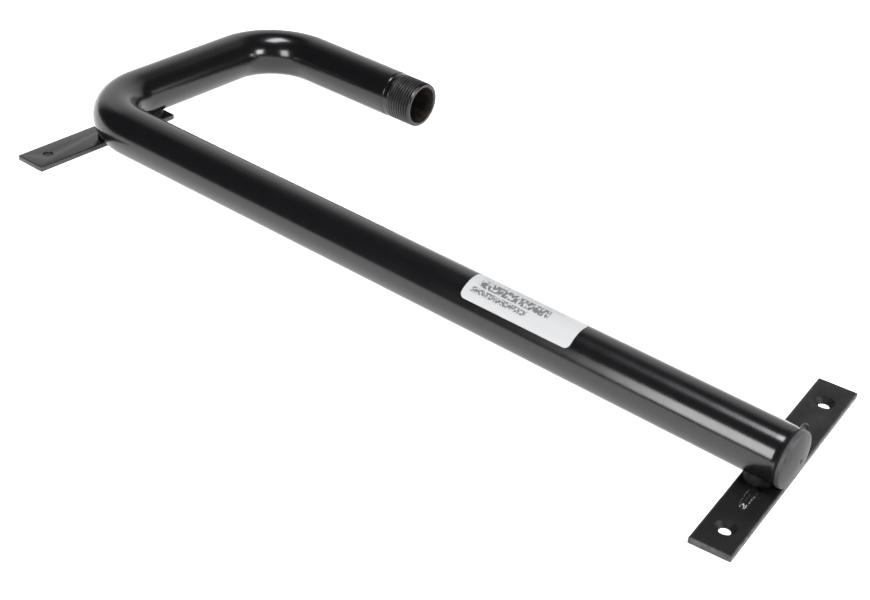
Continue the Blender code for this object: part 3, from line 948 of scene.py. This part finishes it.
def label_paper():
    """White label stock with generic print: a pale bar row, a bold row and a smaller row."""
    material, tree, shader, place = new_material("white_label_stock")
    spot = tree.add("ShaderNodeSeparateXYZ", {"Vector": tree.add("ShaderNodeTexCoord").outputs["UV"]})
    colour = LABEL_WHITE
    for row, strength, ink in (
        (PRINT_PALE, PRINT_PALE_STRENGTH, LABEL_GREY_INK),
        (PRINT_SMALL, PRINT_SMALL_STRENGTH, LABEL_DARK_INK),
        (PRINT_BOLD, PRINT_BOLD_STRENGTH, LABEL_DARK_INK),
    ):
        printed = printed_row(tree, spot.outputs["X"], spot.outputs["Y"], row, strength)
        colour = tree.blend(printed, colour, ink)
    roughness = tree.patchy(tree.noise(place, scale=120, detail=3), low=0.38, high=0.50)
    fibre = tree.bump(tree.noise(place, scale=1400, detail=3), distance=0.00003, strength=0.25)
    drive(tree, shader, Base_Color=colour, Roughness=roughness, Normal=fibre)
    return material


# ---------------------------------------------------------------- floor, light, camera

def make_floor():
    """A pale board under the bar, lit from below like a light table so that shadows stay faint."""
    material, tree, shader, place = new_material("pale_floor")
    shader.inputs["Base Color"].default_value = FLOOR_WHITE
    shader.inputs["Specular IOR Level"].default_value = 0
    shader.inputs["Emission Color"].default_value = FLOOR_WHITE
    shader.inputs["Emission Strength"].default_value = FLOOR_GLOW
    clouds = tree.noise(place, scale=30, detail=3)
    roughness = tree.spread(clouds, from_low=0, from_high=1, to_low=0.7, to_high=0.9)
    drive(tree, shader, Roughness=roughness)
    corners = [
        (FLOOR_LOW.x, FLOOR_LOW.y, 0),
        (FLOOR_HIGH.x, FLOOR_LOW.y, 0),
        (FLOOR_HIGH.x, FLOOR_HIGH.y, 0),
        (FLOOR_LOW.x, FLOOR_HIGH.y, 0),
    ]
    mesh = bpy.data.meshes.new("floor")
    mesh.from_pydata(corners, [], [(0, 1, 2, 3)])
    add_object("floor", mesh, [material])


def make_world():
    """A dark studio with one white backdrop behind the bar. Seen directly, it is white all round."""
    world = bpy.data.worlds.new("studio")
    bpy.context.scene.world = world
    tree = Tree(world)
    generated = tree.add("ShaderNodeTexCoord").outputs["Generated"]
    x, y, z = tree.add("ShaderNodeSeparateXYZ", {"Vector": generated}).outputs
    level = tree.math("SQRT", tree.math("ADD", tree.math("MULTIPLY", x, x), tree.math("MULTIPLY", y, y)))
    toward = tree.math(
        "ADD",
        tree.math("MULTIPLY", x, math.sin(BACKDROP_AZIMUTH)),
        tree.math("MULTIPLY", y, math.cos(BACKDROP_AZIMUTH)),
    )
    facing = tree.math("DIVIDE", toward, tree.math("MAXIMUM", level, TINY))
    sideways = tree.spread(facing, BACKDROP_OUTER, BACKDROP_INNER, to_low=0, to_high=1)
    upward = tree.spread(z, BACKDROP_TOP_START, BACKDROP_TOP_END, to_low=1, to_high=0)
    lobe = tree.math("MULTIPLY", sideways, upward)
    glow = tree.spread(lobe, from_low=0, from_high=1, to_low=ROOM_GLOW, to_high=BACKDROP_GLOW)
    seen = tree.add("ShaderNodeLightPath").outputs["Is Camera Ray"]
    strength = tree.math("MAXIMUM", glow, tree.math("MULTIPLY", seen, BACKDROP_GLOW))
    tree.links.new(strength, tree.nodes["Background"].inputs["Strength"])
    tree.nodes["Background"].inputs["Color"].default_value = (1, 1, 1, 1)


def softbox(name, place, target, width, height, radiance, colour):
    """A rectangular area light of a given radiance, turned to the target and not seen directly."""
    light = bpy.data.lights.new(name, "AREA")
    light.shape = "RECTANGLE"
    light.size = width
    light.size_y = height
    light.energy = math.pi * width * height * radiance
    light.color = colour
    lamp = bpy.data.objects.new(name, light)
    lamp.location = place
    lamp.rotation_euler = (Vector(target) - Vector(place)).to_track_quat("-Z", "Y").to_euler()
    lamp.visible_camera = False
    bpy.context.scene.collection.objects.link(lamp)


def make_camera():
    """The camera: turned about +Z, tilted down, then rolled about its own axis."""
    camera = bpy.data.cameras.new("camera")
    camera.sensor_width = SENSOR_WIDTH
    camera.lens = FOCAL_LENGTH
    camera.dof.use_dof = False
    stand = bpy.data.objects.new("camera", camera)
    turn = Matrix.Rotation(CAMERA_AZIMUTH, 4, "Z")
    tilt = Matrix.Rotation(TURN / 4 - CAMERA_ELEVATION, 4, "X")
    roll = Matrix.Rotation(CAMERA_ROLL, 4, "Z")
    stand.matrix_world = Matrix.Translation(CAMERA_PLACE) @ turn @ tilt @ roll
    bpy.context.scene.collection.objects.link(stand)
    bpy.context.scene.camera = stand


# ---------------------------------------------------------------- the whole object

def make_straps():
    """The near strap with its two countersunk holes, and the far strap with its plain one."""
    half_spacing = NEAR_HOLE_SPACING / 2
    near_holes = [Vector((0, NEAR_HOLES_MIDDLE + way * half_spacing, 0)) for way in (-1, 1)]
    # The near strap's edges are painted much lighter than the far strap's: wear, and a painted highlight
    # where they catch the light.
    near_paint = strap_paint(
        "near_strap_black_paint", gloss=0.2, rough_low=0.44, rough_high=0.56, edge_wear_and_sheen=0.8,
        node="near_strap", angle=NEAR_STRAP_ANGLE, length=NEAR_STRAP_LENGTH,
    )
    make_strap(
        "near_strap_bar", "near_strap", NEAR_STRAP_LENGTH, NEAR_STRAP_ANGLE, near_holes,
        countersunk=True, paint=near_paint,
    )
    far_low, far_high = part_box("far_strap")
    far_length = far_high.y - far_low.y
    far_holes = [Vector((0, FAR_HOLE_MARGIN - far_length / 2, 0))]
    far_paint = strap_paint(
        "far_strap_black_paint", gloss=0.5, rough_low=0.13, rough_high=0.20, edge_wear_and_sheen=0.25,
        node="far_strap", angle=0, length=far_length,
    )
    make_strap(
        "far_strap_bar", "far_strap", far_length, 0, far_holes, countersunk=False, paint=far_paint,
    )


def make_strap_welds(fillet_paint):
    """The welds of both straps. Those of the far strap, in deep shade, keep their CAD shape."""
    bead_paint = weld_paint("bead_paint", gloss=0.5, rough_low=0.12, rough_high=0.20, pit_depth=0.00001)
    make_bead("front_bead", "near_strap_bead_front", seed=0.7, paint=bead_paint)
    make_bead("back_bead", "near_strap_bead_back", seed=2.9, paint=bead_paint)
    make_fillet("front_fillet", "near_strap_weld_front", side=-1, seed=0.4, paint=fillet_paint)
    make_fillet("back_fillet", "near_strap_weld_back", side=1, seed=1.3, paint=fillet_paint)
    for node in ("far_strap_weld_outer", "far_strap_weld_inner"):
        carried = frame["nodes"][node]
        carried.data.materials.clear()
        carried.data.materials.append(fillet_paint)


def make_object():
    """The whole bar."""
    fillet_paint = weld_paint(
        "shaded_weld_paint", gloss=0.1, rough_low=0.50, rough_high=0.62, pit_depth=0.00006,
    )
    make_pipe(pipe_paint(), bore_metal(), dull_thread())
    make_end_cap(
        cap_paint(
            "cap_face_paint", CAP_FACE_DARK, CAP_FACE_DUSTY, gloss=0.25, rough_low=0.50, rough_high=0.58,
        ),
        cap_paint("cap_rim_paint", RIM_DARK, RIM_DUSTY, gloss=0.4, rough_low=0.45, rough_high=0.58),
    )
    make_cap_weld(fillet_paint)
    make_straps()
    make_strap_welds(fillet_paint)
    make_label(label_paper())


make_object()
make_floor()
make_world()
for box in SOFTBOXES:
    softbox(**box)
make_camera()
bpy.context.scene.view_settings.view_transform = "Standard"
